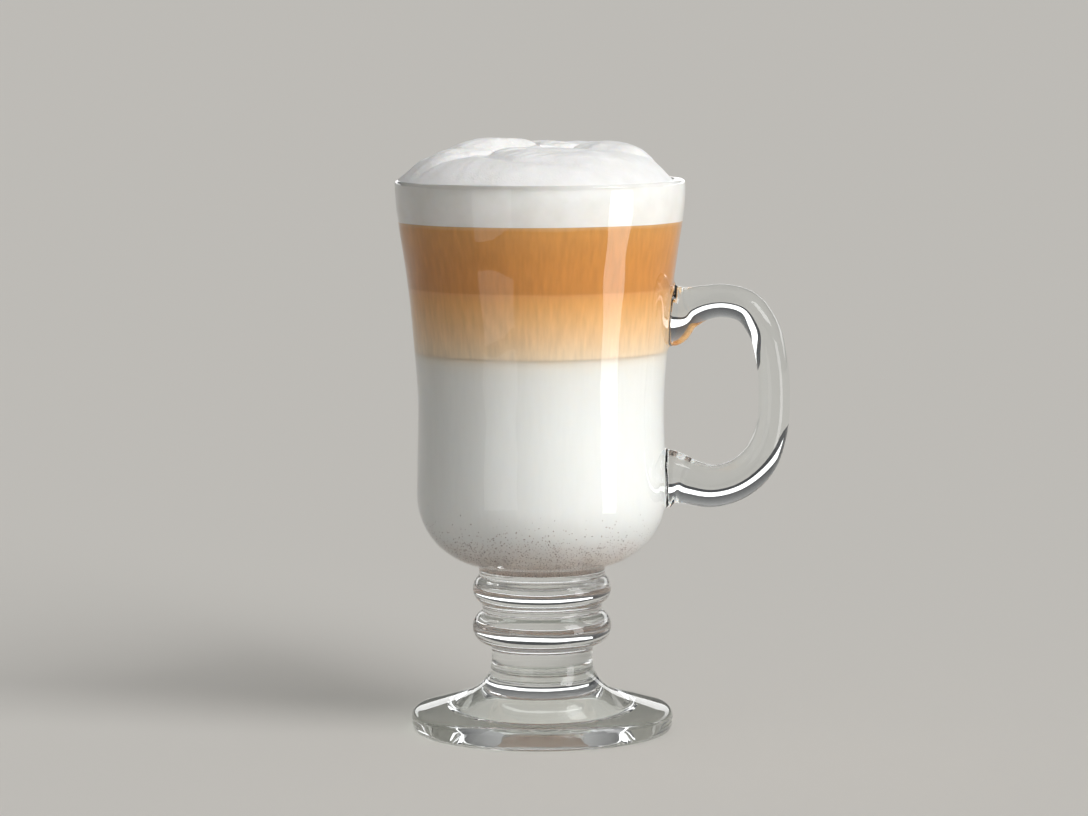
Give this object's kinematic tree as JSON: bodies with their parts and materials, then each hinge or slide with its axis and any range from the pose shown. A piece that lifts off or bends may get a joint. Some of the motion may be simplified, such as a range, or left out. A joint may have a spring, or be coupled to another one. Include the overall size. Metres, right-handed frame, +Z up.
{
  "type": "latte in a footed glass mug",
  "caption": "Layered latte with a folded milk foam mound, served in a footed clear glass mug with a beaded stem and an ear handle.",
  "frame": {"origin": "centre of the foot's standing ring, on the glass's axis", "axes": "+Z up along the glass's axis, +X towards the handle, front seen along +Y"},
  "size_m": [0.1064, 0.0782, 0.161],
  "materials": {
    "clear_glass": "clear pressed soda-lime glass, fire-polished",
    "milk": "white steamed milk, opaque liquid",
    "light_coffee": "light caramel milk and coffee, opaque liquid",
    "dark_coffee": "caramel brown coffee with milk, opaque liquid",
    "milk_foam": "fine matt milk foam"
  },
  "bodies": {
    "root": {"glass": "clear_glass", "milk": "milk", "latte_light": "light_coffee", "latte_dark": "dark_coffee", "foam": "milk_foam"}
  },
  "joints": []
}
